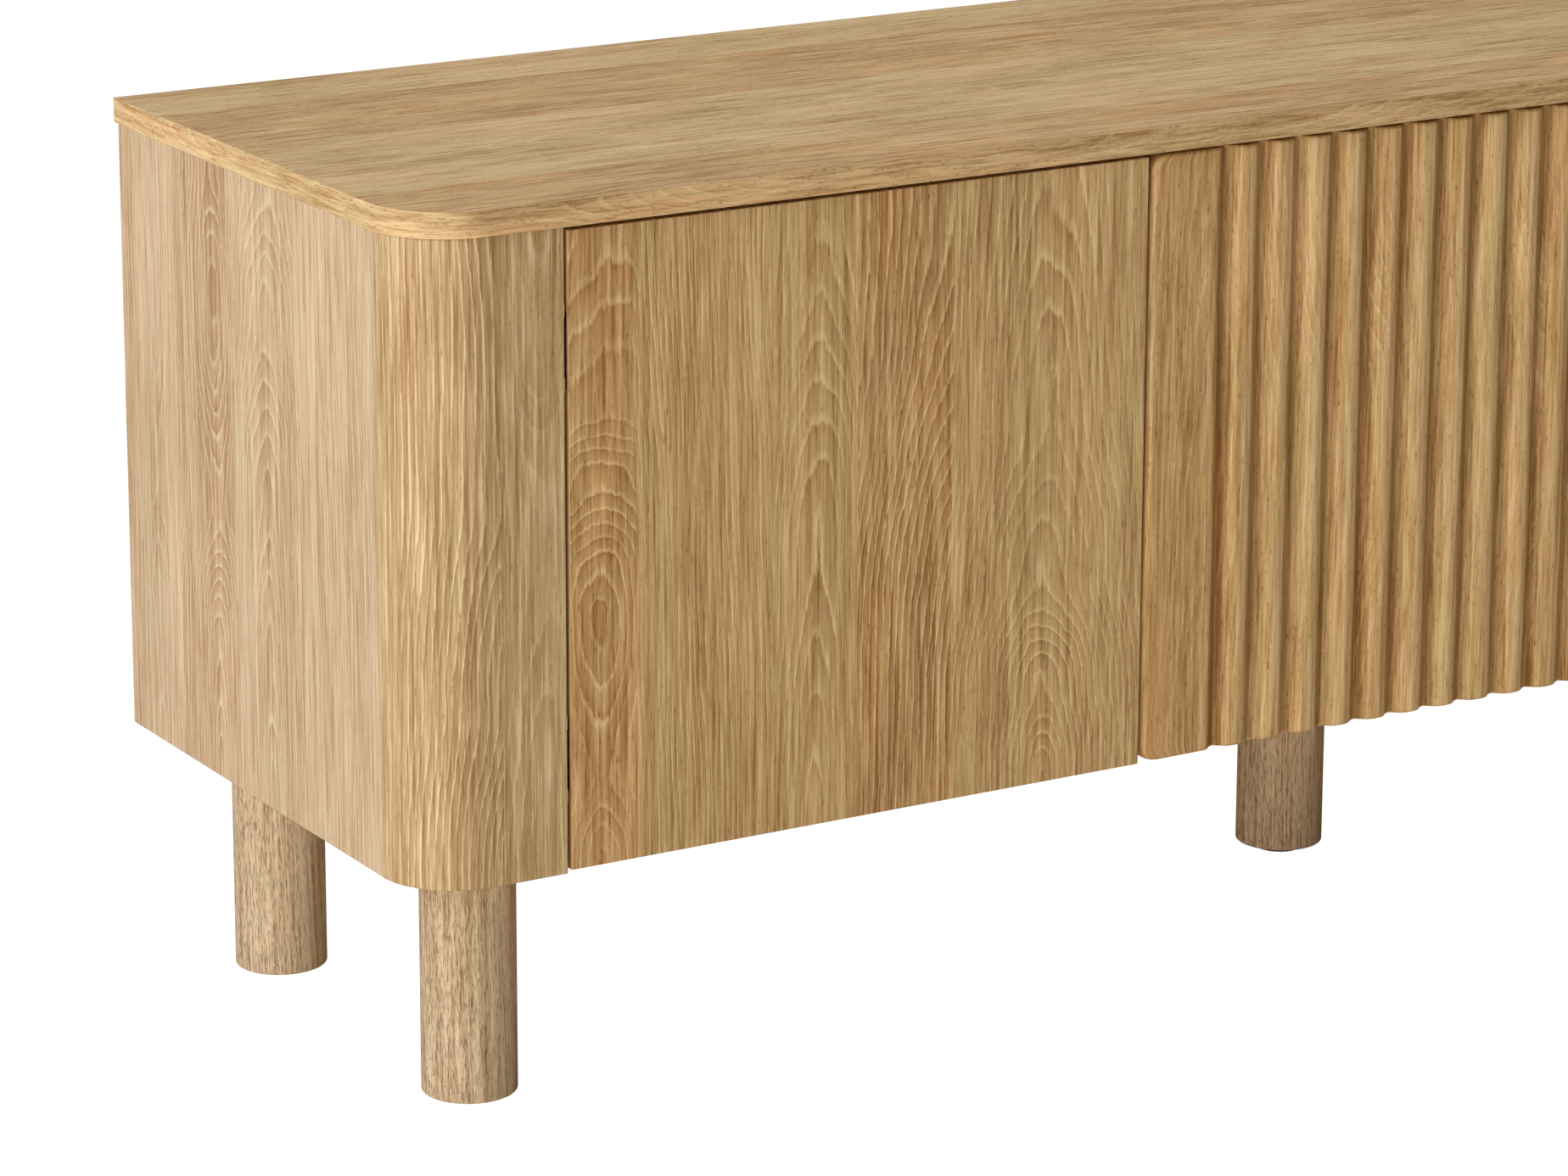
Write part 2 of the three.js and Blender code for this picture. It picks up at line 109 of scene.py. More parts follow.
def make_camera():
    data = bpy.data.cameras.new("camera")
    data.lens = LENS
    data.sensor_width = SENSOR
    data.shift_y = LENS_DROP
    data.clip_end = FAR
    ahead = Vector((
        math.sin(CAMERA_YAW) * math.cos(CAMERA_PITCH),
        math.cos(CAMERA_YAW) * math.cos(CAMERA_PITCH),
        -math.sin(CAMERA_PITCH),
    ))
    level = Vector((math.cos(CAMERA_YAW), -math.sin(CAMERA_YAW), 0))
    upright = level.cross(ahead)
    right = level * math.cos(CAMERA_ROLL) + upright * math.sin(CAMERA_ROLL)
    up = upright * math.cos(CAMERA_ROLL) - level * math.sin(CAMERA_ROLL)
    camera = bpy.data.objects.new("camera", data)
    turn = Matrix((right, up, -ahead)).transposed().to_4x4()
    camera.matrix_world = Matrix.Translation(CAMERA_PLACE) @ turn
    bpy.context.scene.collection.objects.link(camera)
    bpy.context.scene.camera = camera


def soft_light(name, place, aim, size, power, color):
    data = bpy.data.lights.new(name, "AREA")
    data.shape = "RECTANGLE"
    data.size, data.size_y = size
    data.energy = power
    data.color = color
    light = bpy.data.objects.new(name, data)
    light.location = place
    light.rotation_mode = "QUATERNION"
    light.rotation_quaternion = (Vector(aim) - Vector(place)).to_track_quat("-Z", "Y")
    light.visible_camera = False
    bpy.context.scene.collection.objects.link(light)


AMBIENT = 0.13
AMBIENT_COLOR = (1, 0.90, 0.76, 1)
BACKDROP = 1.3  # strength behind the object, where it clips to white
LIGHT_AIM = (0, 0, 0.3)
LIGHTS = [  # name, place, width and height, watts, colour
    ("key_left", (-6.9, -1.5, 3.6), (3.2, 3.2), 298, (0.94, 0.985, 1.02)),
    ("fill_low", (-3.98, -3.09, 0.5), (2.2, 0.9), 83, (1, 0.92, 0.79)),
    ("top_soft", (-0.4, 0.2, 4.0), (4.0, 3.0), 77, (1, 0.965, 0.93)),
]
FLOOR_HALF = 30.0
FLOOR_COLOR = (0.86, 0.79, 0.66, 1)
FLOOR_WHITE = 0.90  # how much of the floor that is seen is plain white
FLOOR_GLOW = 1.2


def make_world():
    """Weak warm light from all round, and white behind the object."""
    bpy.context.scene.view_settings.view_transform = "Standard"
    world = bpy.data.worlds.new("studio")
    world.use_nodes = True
    tree = world.node_tree
    background = tree.nodes["Background"]
    background.inputs["Color"].default_value = AMBIENT_COLOR
    path = tree.nodes.new("ShaderNodeLightPath")
    strength = tree.nodes.new("ShaderNodeMath")
    strength.operation = "MULTIPLY_ADD"
    strength.inputs[1].default_value = BACKDROP
    strength.inputs[2].default_value = AMBIENT
    tree.links.new(path.outputs["Is Camera Ray"], strength.inputs[0])
    tree.links.new(strength.outputs[0], background.inputs["Strength"])
    bpy.context.scene.world = world


def make_lights():
    for name, place, size, power, color in LIGHTS:
        soft_light(name, place, LIGHT_AIM, size, power, color)


def make_floor():
    mesh = bpy.data.meshes.new("floor")
    h = FLOOR_HALF
    mesh.from_pydata([(-h, -h, 0), (h, -h, 0), (h, h, 0), (-h, h, 0)], [], [(0, 1, 2, 3)])
    floor = bpy.data.objects.new("floor", mesh)
    bpy.context.scene.collection.objects.link(floor)
    mesh.materials.append(floor_finish())


def floor_finish():
    """Pale diffuse floor, which is lifted to near white where it is seen directly."""
    material = bpy.data.materials.new("pale_floor")
    material.use_nodes = True
    tree = material.node_tree
    tree.nodes.clear()
    out = tree.nodes.new("ShaderNodeOutputMaterial")
    mix = tree.nodes.new("ShaderNodeMixShader")
    diffuse = tree.nodes.new("ShaderNodeBsdfDiffuse")
    diffuse.inputs["Color"].default_value = FLOOR_COLOR
    white = tree.nodes.new("ShaderNodeEmission")
    white.inputs["Strength"].default_value = FLOOR_GLOW
    path = tree.nodes.new("ShaderNodeLightPath")
    share = tree.nodes.new("ShaderNodeMath")
    share.operation = "MULTIPLY"
    share.inputs[1].default_value = FLOOR_WHITE
    tree.links.new(path.outputs["Is Camera Ray"], share.inputs[0])
    tree.links.new(share.outputs[0], mix.inputs["Fac"])
    tree.links.new(diffuse.outputs[0], mix.inputs[1])
    tree.links.new(white.outputs[0], mix.inputs[2])
    tree.links.new(mix.outputs[0], out.inputs["Surface"])
    return material


# ---------------------------------------------------------------- materials


def linear(red, green, blue):
    """A colour given as 0..255 display values, in the shader's linear values."""
    def one(value):
        share = value / 255
        return share / 12.92 if share <= 0.04045 else ((share + 0.055) / 1.055) ** 2.4
    return (one(red), one(green), one(blue), 1.0)


# Where a Mix node keeps its sockets for colours
MIX_A = 6
MIX_B = 7
MIX_RESULT = 2


class Graph:
    """A material that is being made. Each method adds one node and returns its output."""

    def __init__(self, name, roughness=0.5, metallic=0.0, specular=0.4):
        self.material = bpy.data.materials.new(name)
        self.material.use_nodes = True
        self.tree = self.material.node_tree
        self.shader = self.tree.nodes["Principled BSDF"]
        self.shader.inputs["Roughness"].default_value = roughness
        self.shader.inputs["Metallic"].default_value = metallic
        self.shader.inputs["Specular IOR Level"].default_value = specular

    def add(self, kind, inputs, output=0, **settings):
        node = self.tree.nodes.new(kind)
        for key, value in settings.items():
            setattr(node, key, value)
        for key, value in inputs.items():
            self.feed(node.inputs[key], value)
        return node.outputs[output]

    def feed(self, socket, value):
        if isinstance(value, bpy.types.NodeSocket):
            self.tree.links.new(value, socket)
        else:
            socket.default_value = value

    def math(self, operation, a, b=0.0, c=0.0, clamp=False):
        inputs = {0: a, 1: b, 2: c}
        return self.add("ShaderNodeMath", inputs, operation=operation, use_clamp=clamp)

    def plus(self, *values):
        total = values[0]
        for value in values[1:]:
            total = self.math("ADD", total, value)
        return total

    def times(self, a, b):
        return self.math("MULTIPLY", a, b)

    def centred(self, value, gain):
        """value, which lies round 0.5, as a swing round 0 of that gain."""
        return self.math("MULTIPLY_ADD", value, gain, -0.5 * gain)

    def over(self, value, threshold, gain):
        """How far value passes the threshold, times gain, and kept within 0 and 1."""
        past = self.math("SUBTRACT", value, threshold, clamp=True)
        return self.math("MULTIPLY", past, gain, clamp=True)

    def scaled(self, vector, scale):
        return self.add("ShaderNodeVectorMath", {0: vector, 1: scale}, operation="MULTIPLY")

    def moved(self, vector, offset):
        return self.add("ShaderNodeVectorMath", {0: vector, 1: offset}, operation="ADD")

    def length(self, vector):
        return self.add("ShaderNodeVectorMath", {0: vector}, "Value", operation="LENGTH")

    def noise(self, vector, cells, detail=2.0, roughness=0.5, output="Fac"):
        """Noise with so many cells per metre along each axis."""
        inputs = {"Vector": self.scaled(vector, cells), "Scale": 1.0, "Detail": detail}
        inputs["Roughness"] = roughness
        return self.add("ShaderNodeTexNoise", inputs, output)

    def ramp(self, value, stops):
        node = self.tree.nodes.new("ShaderNodeValToRGB")
        self.tree.links.new(value, node.inputs["Fac"])
        elements = node.color_ramp.elements
        while len(elements) < len(stops):
            elements.new(1.0)
        for element, (place, color) in zip(elements, stops):
            element.position = place
            element.color = color if isinstance(color, tuple) else (color, color, color, 1.0)
        return node.outputs["Color"]

    def tinted(self, color, tint):
        """One colour times another."""
        node = self.tree.nodes.new("ShaderNodeMix")
        node.data_type = "RGBA"
        node.blend_type = "MULTIPLY"
        node.inputs["Factor"].default_value = 1.0
        self.feed(node.inputs[MIX_A], color)
        self.feed(node.inputs[MIX_B], tint)
        return node.outputs[MIX_RESULT]

    def color(self, value):
        self.feed(self.shader.inputs["Base Color"], value)

    def roughness(self, value):
        self.feed(self.shader.inputs["Roughness"], value)

    def bump(self, height, strength, distance):
        inputs = {"Strength": strength, "Distance": distance, "Height": height}
        self.feed(self.shader.inputs["Normal"], self.add("ShaderNodeBump", inputs, "Normal"))


# What the figure of oak is made of. Each is a noise: its cells per metre across the leaf, into it
# and along it, then its detail and its roughness.
SLOW_BEND = ((10, 10, 2.6), 2, 0.5)
QUICK_BEND = ((60, 60, 7), 2, 0.5)
FEATHER = ((800, 800, 30), 3, 0.6)
COMB = ((2000, 2000, 70), 2, 0.6)
PATCHES = ((30, 30, 5), 2, 0.5)
STREAKS = ((350, 350, 6.0), 4, 0.72)
THREADS = ((880, 880, 17), 3, 0.7)
TIDE = ((24, 24, 2.2), 2, 0.5)
RIBBON = ((95, 95, 3.0), 2, 0.5)
SPECKS = ((900, 900, 105), 2, 0.55)
GROOVES = ((1250, 1250, 140), 4, 0.7)
WARM_BROAD = ((34, 34, 2.2), 2, 0.5)
WARM_FINE = ((360, 360, 5), 3, 0.5)

# How far the log's rings sway, in metres, and their edges, in rings
SLOW_SWAY = (0.022, 0.022, 0)
QUICK_SWAY = (0.0048, 0.0048, 0)
FEATHER_SWAY = 0.42
COMB_SWAY = 0.22

# Through one ring, from its first wood to its last: brightness, and how many pores show
RING_PROFILE = [(0, 1.0), (0.09, 0.92), (0.24, 0.5), (0.6, 0.42), (0.93, 0.16), (1, 1.0)]
RING_MEAN = 0.48
PORE_PROFILE = [(0, 1.0), (0.3, 0.75), (0.6, 0.35), (1, 0.5)]

# How strong the rings are: everywhere, by each ring's own luck, by patch, and at least
RING_BASE = 0.35
RING_LUCK = 0.75
RING_PATCH = 2.4
RING_LEAST = 0.04

# The share of each in the tone, in the warmth, in the relief and in the roughness
TONE = {
    "mean": 0.5, "streaks": 1.5, "threads": 1.05, "tide": 0.7, "ribbon": 0.4, "pores": -0.5,
    "furrows": -0.40,
}
WARMTH = {"mean": 0.42, "broad": 1.3, "fine": 1.7, "rings": -0.9}
RELIEF = {"rings": 0.16, "threads": 0.9, "streaks": 0.35, "pores": -0.9, "furrows": -1.6}
DULLNESS = {"pores": 0.18, "streaks": -0.25}
TINTS = [(0.0, (0.965, 1.02, 0.97, 1)), (0.45, (1, 1, 1, 1)), (1.0, (1.03, 0.91, 0.83, 1))]

# From which value of their noise pores and furrows show, and how fast they deepen
PORE_EDGE = (0.585, 6.5)
FURROW_EDGE = (0.52, 6.0)

OAK_SPECULAR = 0.2
OAK_BUMP = 0.45
OAK_RELIEF = 0.22 * MM
LEAF_DEPTH = 0.05  # how much the fibres of a sliced leaf change with its depth in the log
LOG_PLACE = (0.31, 0.12, 0.4)  # of a CAD node in its log


def log_coordinates(g, run):
    """Where a surface point lies in the log: across, depth, along, in metres."""
    if run == "veneer":
        return g.add("ShaderNodeAttribute", {}, "Vector", attribute_name="grain")
    place = g.add("ShaderNodeTexCoord", {}, "Object")
    parts = g.add("ShaderNodeSeparateXYZ", {0: place}).node
    order = {"x": (1, 2, 0), "y": (0, 2, 1), "z": (0, 1, 2)}[run]
    inputs = {i: parts.outputs[source] for i, source in enumerate(order)}
    return g.moved(g.add("ShaderNodeCombineXYZ", inputs), LOG_PLACE)


def leaf_mood(g):
    """A leaf's own tone, warmth and strength of rings."""
    mood = g.add("ShaderNodeAttribute", {}, "Vector", attribute_name="strip")
    return g.add("ShaderNodeSeparateXYZ", {0: mood}).node.outputs


def ring_count(g, log, leaf, ring):
    """How many rings a point lies from the heart of the log."""
    # The log isn't straight: its rings wander slowly, and waver a little.
    bent = log
    for kind, sway in ((SLOW_BEND, SLOW_SWAY), (QUICK_BEND, QUICK_SWAY)):
        shift = g.moved(g.noise(log, *kind, output="Color"), (-0.5, -0.5, -0.5))
        bent = g.moved(bent, g.scaled(shift, sway))
    radius = g.length(g.scaled(bent, (1, 1, 0)))
    # Fibres pull the edge of each ring out into fine points along the grain.
    feather = g.centred(g.noise(leaf, *FEATHER), FEATHER_SWAY)
    comb = g.centred(g.noise(leaf, *COMB), COMB_SWAY)
    return g.plus(g.times(radius, 1 / (ring * MM)), feather, comb)


def ring_figure(g, log, count, phase, lines, own):
    """Light and dark through each ring, strong in some rings and patches and weak in others."""
    number = g.math("FLOOR", count)
    luck = g.add("ShaderNodeTexWhiteNoise", {"W": number}, "Value", noise_dimensions="1D")
    patch = g.noise(log, *PATCHES)
    swing = g.plus(
        lines * RING_BASE, g.times(luck, lines * RING_LUCK),
        g.centred(patch, lines * RING_PATCH), own)
    swing = g.math("MAXIMUM", swing, RING_LEAST)
    return g.times(g.math("SUBTRACT", g.ramp(phase, RING_PROFILE), RING_MEAN), swing)


def oak_warmth(g, leaf, own, rings, warm):
    """From greenish to reddish, as a tint."""
    broad = g.centred(g.noise(leaf, *WARM_BROAD), WARMTH["broad"] * warm)
    fine = g.centred(g.noise(leaf, *WARM_FINE), WARMTH["fine"] * warm)
    return g.ramp(g.plus(WARMTH["mean"], own, broad, fine, g.times(rings, WARMTH["rings"])), TINTS)


def oak(
    name, dark, middle, light, run="veneer", ring=3.4, lines=0.55, fibres=1.0, pores=0.5,
    broad=1.0, warm=1.0, roughness=0.5, relief=1.0, brushed=0.0, solid=False, short=1.0,
):
    """Oak: growth rings round the heart of the log, fibres, pores and slow changes of colour.

    ring is the ring spacing in mm; the other numbers are strengths, with 1 as a usual one."""
    g = Graph(name, roughness, specular=OAK_SPECULAR)
    log = log_coordinates(g, run)
    # In a sliced leaf the fibres keep to the surface, although the rings run in under it.
    leaf = g.scaled(log, (1, 1 if solid or run != "veneer" else LEAF_DEPTH, short))
    own_tone, own_warmth, own_rings = leaf_mood(g)
    count = ring_count(g, log, leaf, ring)
    phase = g.math("FRACT", count)
    rings = ring_figure(g, log, count, phase, lines, own_rings)
    streaks = g.noise(leaf, *STREAKS)
    threads = g.noise(leaf, *THREADS)
    pore = g.times(g.over(g.noise(leaf, *SPECKS), *PORE_EDGE), g.ramp(phase, PORE_PROFILE))

    tone = g.plus(
        TONE["mean"], own_tone, rings,
        g.centred(streaks, TONE["streaks"] * fibres), g.centred(threads, TONE["threads"] * fibres),
        g.centred(g.noise(leaf, *TIDE), TONE["tide"] * broad),
        g.centred(g.noise(leaf, *RIBBON), TONE["ribbon"] * broad),
        g.times(pore, TONE["pores"] * pores))
    height = g.plus(
        g.times(rings, RELIEF["rings"]), g.centred(threads, RELIEF["threads"]),
        g.centred(streaks, RELIEF["streaks"]), g.times(pore, RELIEF["pores"]))
    if brushed:
        furrow = g.over(g.noise(leaf, *GROOVES), *FURROW_EDGE)
        tone = g.plus(tone, g.times(furrow, TONE["furrows"] * brushed))
        height = g.plus(height, g.times(furrow, RELIEF["furrows"] * brushed))

    color = g.ramp(tone, [(0.0, linear(*dark)), (0.5, linear(*middle)), (1.0, linear(*light))])
    g.color(g.tinted(color, oak_warmth(g, leaf, own_warmth, rings, warm)))
    g.roughness(g.plus(
        roughness, g.times(pore, DULLNESS["pores"]), g.centred(streaks, DULLNESS["streaks"])))
    g.bump(height, OAK_BUMP * relief, OAK_RELIEF)
    return g.material


def lighter(shade, gain, lift=0):
    """A shade made brighter or darker, with 0..255 display values."""
    return linear(*(min(255, value * gain + lift) for value in shade))


def steel(name, shade, roughness):
    """Brushed metal with a few cloudy patches."""
    g = Graph(name, roughness, metallic=1.0)
    place = g.add("ShaderNodeTexCoord", {}, "Object")
    brush = g.noise(place, (900, 60, 900), 3, 0.6)
    cloud = g.noise(place, (120, 120, 120), 3)
    tone = g.plus(0.5, g.centred(cloud, 1.2), g.centred(brush, 0.7))
    g.color(g.ramp(tone, [(0.0, lighter(shade, 0.82)), (1.0, lighter(shade, 1.1))]))
    g.roughness(g.plus(roughness, g.centred(brush, 0.3), g.centred(cloud, 0.2)))
    g.bump(brush, 0.25, 0.04 * MM)
    return g.material


def plastic(name, shade, roughness):
    """Moulded plastic with a fine grain."""
    g = Graph(name, roughness, specular=0.5)
    place = g.add("ShaderNodeTexCoord", {}, "Object")
    grain = g.noise(place, (2600, 2600, 2600), 2)
    cloud = g.noise(place, (60, 60, 60), 2)
    tone = g.plus(0.5, g.centred(cloud, 1.0), g.centred(grain, 0.5))
    g.color(g.ramp(tone, [(0.0, linear(*shade)), (1.0, lighter(shade, 1.12, 4))]))
    g.roughness(g.plus(roughness, g.centred(grain, 0.3)))
    g.bump(grain, 0.3, 0.05 * MM)
    return g.material


def hardboard(name, roughness=0.62):
    """Smooth fibre board with a printed, faintly streaked face."""
    g = Graph(name, roughness, specular=0.3)
    place = g.add("ShaderNodeTexCoord", {}, "Object")
    streak = g.noise(place, (5, 60, 260), 4, 0.6)
    felt = g.noise(place, (900, 900, 900), 3, 0.6)
    cloud = g.noise(place, (6, 6, 6), 2)
    tone = g.plus(0.5, g.centred(streak, 1.2), g.centred(felt, 0.7), g.centred(cloud, 0.6))
    stops = [(0.0, (166, 137, 100)), (0.5, (184, 155, 115)), (1.0, (201, 173, 133))]
    g.color(g.ramp(tone, [(at, linear(*shade)) for at, shade in stops]))
    g.roughness(g.plus(roughness, g.centred(felt, 0.2)))
    g.bump(felt, 0.35, 0.1 * MM)
    return g.material


# ---------------------------------------------------------------- veneer and boards


LOG_STEP = 1.37  # metres along the log from one leaf to the next
END_PLACE = Vector((0.11, 0.05, 0))  # of an end across the grain, in its log
END_MOOD = Vector((-0.12, 0.1, 0))
UNDERSIDE = 0.7  # metres along the log from the top board's upper leaf to its lower one


class Strip:
    """One leaf of veneer, and how it was sliced from its log.

    heart is where the log's heart passes behind the leaf, in mm from its first edge; depths are
    (share of the length, mm down to the heart), which give arches where they change."""

    made = 0

    def __init__(self, width, heart, depths, tone=0.0, warmth=0.0, lines=0.0, zoom=1.0):
        self.width = width * MM
        self.zoom = zoom
        self.heart = heart * MM
        self.depths = depths
        self.mood = Vector((tone, warmth, lines))
        Strip.made += 1
        self.start = LOG_STEP * Strip.made

    def depth(self, share):
        points = self.depths
        if share <= points[0][0]:
            return points[0][1] * MM
        for (s0, d0), (s1, d1) in zip(points, points[1:]):
            if share <= s1:
                t = (share - s0) / (s1 - s0)
                t = t * t * (3 - 2 * t)
                return (d0 + (d1 - d0) * t) * MM
        return points[-1][1] * MM

    def grain(self, across, along, share):
        return Vector(((across - self.heart) * self.zoom, self.depth(share), along + self.start))


def plain(tone=0.0, warmth=0.0, width=100):
    """A quiet, straight-grained leaf."""
    return Strip(width, 130 + width, [(0, 40), (1, 55)], tone, warmth)


def as_drawn(x, y, z):
    return Vector((x, y, z))


class Board:
    """A wooden piece in the making: faces with the place of each corner in the log."""

    def __init__(self, name):
        self.name = name
        self.mesh = bmesh.new()
        self.grain = self.mesh.loops.layers.float_vector.new("grain")
        self.mood = self.mesh.loops.layers.float_vector.new("strip")
        self.corners = {}

    def corner(self, point):
        key = tuple(round(value * 1e6) for value in point)
        if key not in self.corners:
            self.corners[key] = self.mesh.verts.new(point)
        return self.corners[key]

    def face(self, points, grains, mood):
        found = []
        for point, grain in zip(points, grains):
            vert = self.corner(point)
            if vert not in [v for v, _ in found]:
                found.append((vert, grain))
        if len(found) < 3:
            return
        made = self.mesh.faces.new([v for v, _ in found])
        for loop, (_, grain) in zip(made.loops, found):
            loop[self.grain] = grain
            loop[self.mood] = mood

    def cap(self, points):
        """A flat end across the grain."""
        self.face(points, [Vector(point) + END_PLACE for point in points], END_MOOD)

    def wall(self, path, strips, levels, along="up", holes=(), place=as_drawn):
        """A veneered surface over a path in plan, between heights.

        The leaves lie side by side along the path and run up it, or with along="path" one leaf
        runs along it. holes are ((from, to) along the path, (low, high)) that stay open. place
        gives the final place of a point."""
        upright = along == "up"
        stops = run_lengths(path)
        total = stops[-1]
        scale = total / sum(strip.width for strip in strips) if upright else 1
        seams = seam_places(strips, scale)
        cuts = [u for hole, _ in holes for u in hole]
        marks = merge_stops(stops, (seams[1:-1] if upright else []) + cuts)
        heights = merge_stops(levels, [z for _, hole in holes for z in hole])
        low, high = heights[0], heights[-1]

        def grain(index, u, z):
            if upright:
                share = (z - low) / (high - low)
                return strips[index].grain((u - seams[index]) / scale, z, share)
            return strips[index].grain(z - low, u, u / total)

        for u0, u1 in zip(marks, marks[1:]):
            middle = (u0 + u1) / 2
            index = leaf_at(seams, middle) if upright else 0
            (x0, y0), (x1, y1) = on_path(path, stops, u0), on_path(path, stops, u1)
            for z0, z1 in zip(heights, heights[1:]):
                if in_hole(holes, middle, (z0 + z1) / 2):
                    continue
                corners = [(u0, x0, y0, z0), (u1, x1, y1, z0), (u1, x1, y1, z1), (u0, x0, y0, z1)]
                points = [place(x, y, z) for _, x, y, z in corners]
                grains = [grain(index, u, z) for u, _, _, z in corners]
                self.face(points, grains, strips[index].mood)

    def pocket(self, low, high, mouth):
        """The walls of a mortise between two corners, open on the side whose x is mouth."""
        x = (mouth, high.x if abs(mouth - low.x) < abs(mouth - high.x) else low.x)
        (y0, y1), (z0, z1) = (low.y, high.y), (low.z, high.z)
        rings = [[(at, y0, z0), (at, y1, z0), (at, y1, z1), (at, y0, z1)] for at in x]
        for i in range(4):
            j = (i + 1) % 4
            self.cap([rings[0][i], rings[0][j], rings[1][j], rings[1][i]])
        self.cap(rings[1])

    def done(self, finish, body, replaced, arris=ARRIS, soft=None, sharp_from=SHARP):
        """The finished object. soft(edge) says which sharp edges get no arris."""
        bmesh.ops.recalc_face_normals(self.mesh, faces=self.mesh.faces)
        weight = self.mesh.edges.layers.float.new("bevel_weight_edge")
        limit = math.radians(sharp_from)
        for edge in self.mesh.edges:
            sharp = len(edge.link_faces) == 2 and edge.calc_face_angle() > limit
            rounded = sharp and arris > 0 and not (soft and soft(edge))
            edge[weight] = 1.0 if rounded else 0.0
            edge.smooth = not sharp or rounded
        for face in self.mesh.faces:
            face.smooth = True
        data = bpy.data.meshes.new(self.name)
        self.mesh.to_mesh(data)
        self.mesh.free()
        made = bpy.data.objects.new(self.name, data)
        bpy.context.scene.collection.objects.link(made)
        if arris > 0:
            bevel = made.modifiers.new("arris", "BEVEL")
            bevel.limit_method = "WEIGHT"
            bevel.width = arris
            bevel.segments = ARRIS_SEGMENTS
            bevel.harden_normals = True
        data.materials.append(finish)
        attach(made, body)
        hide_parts(*replaced)


def seam_places(strips, scale, start=0.0):
    """Where each leaf begins, and where the last one ends."""
    seams = [start]
    for strip in strips:
        seams.append(seams[-1] + strip.width * scale)
    return seams


def leaf_at(seams, place):
    """The number of the leaf that covers a place."""
    return max(i for i, seam in enumerate(seams[:-1]) if seam <= place or i == 0)


def in_hole(holes, u, z):
    return any(u0 < u < u1 and z0 < z < z1 for (u0, u1), (z0, z1) in holes)


def run_lengths(path):
    """How far each point of a path lies from its start."""
    stops = [0.0]
    for (x0, y0), (x1, y1) in zip(path, path[1:]):
        stops.append(stops[-1] + math.hypot(x1 - x0, y1 - y0))
    return stops


def merge_stops(stops, extra):
    """All stops in order, without any two that are the same."""
    merged = []
    for value in sorted([*stops, *extra]):
        if not merged or value - merged[-1] > NEAR:
            merged.append(value)
    return merged


def on_path(path, stops, u):
    """The point of a path that lies u from its start."""
    for i in range(len(path) - 1):
        if u <= stops[i + 1] or i == len(path) - 2:
            share = (u - stops[i]) / (stops[i + 1] - stops[i])
            (x0, y0), (x1, y1) = path[i], path[i + 1]
            return (x0 + (x1 - x0) * share, y0 + (y1 - y0) * share)


def spaced(low, high, steps):
    return [low + (high - low) * i / steps for i in range(steps + 1)]


def rounding(radius, step):
    """How far the corners of a quarter round lie from its start, one every step degrees."""
    return [radius * (1 - math.cos(math.radians(t))) for t in range(0, 91, step)]


def arc(centre, radius, start, end, steps):
    """Points on an arc, angles in degrees."""
    angles = [math.radians(start + (end - start) * i / steps) for i in range(steps + 1)]
    return [(centre[0] + radius * math.cos(a), centre[1] + radius * math.sin(a)) for a in angles]


def mirrored(path, side):
    """A path that was drawn for the left side, on the side asked for."""
    return path if side < 0 else [(-x, y) for x, y in path]


# ---------------------------------------------------------------- outer pieces

# Steps in arcs
POST_OUTER_STEPS = 40
POST_INNER_STEPS = 24
FLAP_EDGE_STEPS = 10
FLAP_CORNER_STEP = 9  # degrees
FLAP_END_STEP = 15
LEG_EDGE_STEP = 15

# Each rib's own tone and warmth
RIB_TONES = [0.06, 0.14, 0.18, 0.14, 0.08, 0.18, 0.12, 0.16, 0.14, 0.09, 0.17, 0.12, 0.18, 0.10]
RIB_WARMTHS = [0.12, 0.04, -0.02, 0.05, 0.14, 0.06, 0.0, -0.02, 0.10, 0.12, 0.02, 0.0, 0.06, 0.10]

LEG_ROUNDING = 1.2 * MM
LEG_MOOD = Vector((0.0, 0.0, -0.1))
GLIDE_BORE_DEPTH = 3 * MM
FOOT_BORE_DEPTH = 26 * MM
FOOT_BORE_RADIUS = 4.3 * MM

# Degrees between two faces, from which an edge without an arris looks sharp
FLAP_SHARP = 50
LEG_SHARP = 40


def door_strips(side):
    """The front of a door from its outer edge to its inner edge."""
    if side < 0:
        loops = [(0, 2), (0.13, 12), (0.41, 0.5), (0.45, 6), (0.61, 25), (0.72, 38), (1, 48)]
        arches = [(0, 3), (0.16, 18), (0.34, 36), (0.6, 46), (1, 54)]
        return [
            Strip(44, 21, loops, -0.05, 0.30, 0.06, zoom=0.7),
            Strip(92, -60, [(0, 24), (0.5, 30), (1, 52)], -0.01, -0.03, 0.12),
            Strip(58, 30, [(0, 12), (0.45, 22), (1, 40)], 0.0, -0.03, 0.02),
            Strip(66, 92, [(0, 10), (1, 60)], -0.10, 0.24, 0.34, zoom=0.75),
            Strip(138, 68, arches, 0.01, -0.02, 0.1, zoom=0.85),
        ]
    return [
        Strip(78, 30, [(0, 12), (0.4, 34), (0.8, 20), (1, 8)], -0.05, 0.12, 0.05),
        Strip(120, 150, [(0, 60), (1, 80)], 0.03, -0.10),
        Strip(96, 55, [(0, 40), (0.4, 18), (0.7, 8), (1, 30)], -0.08, 0.20, 0.06),
        Strip(104, 20, [(0, 70), (0.5, 48), (1, 22)], 0.0, -0.04),
    ]


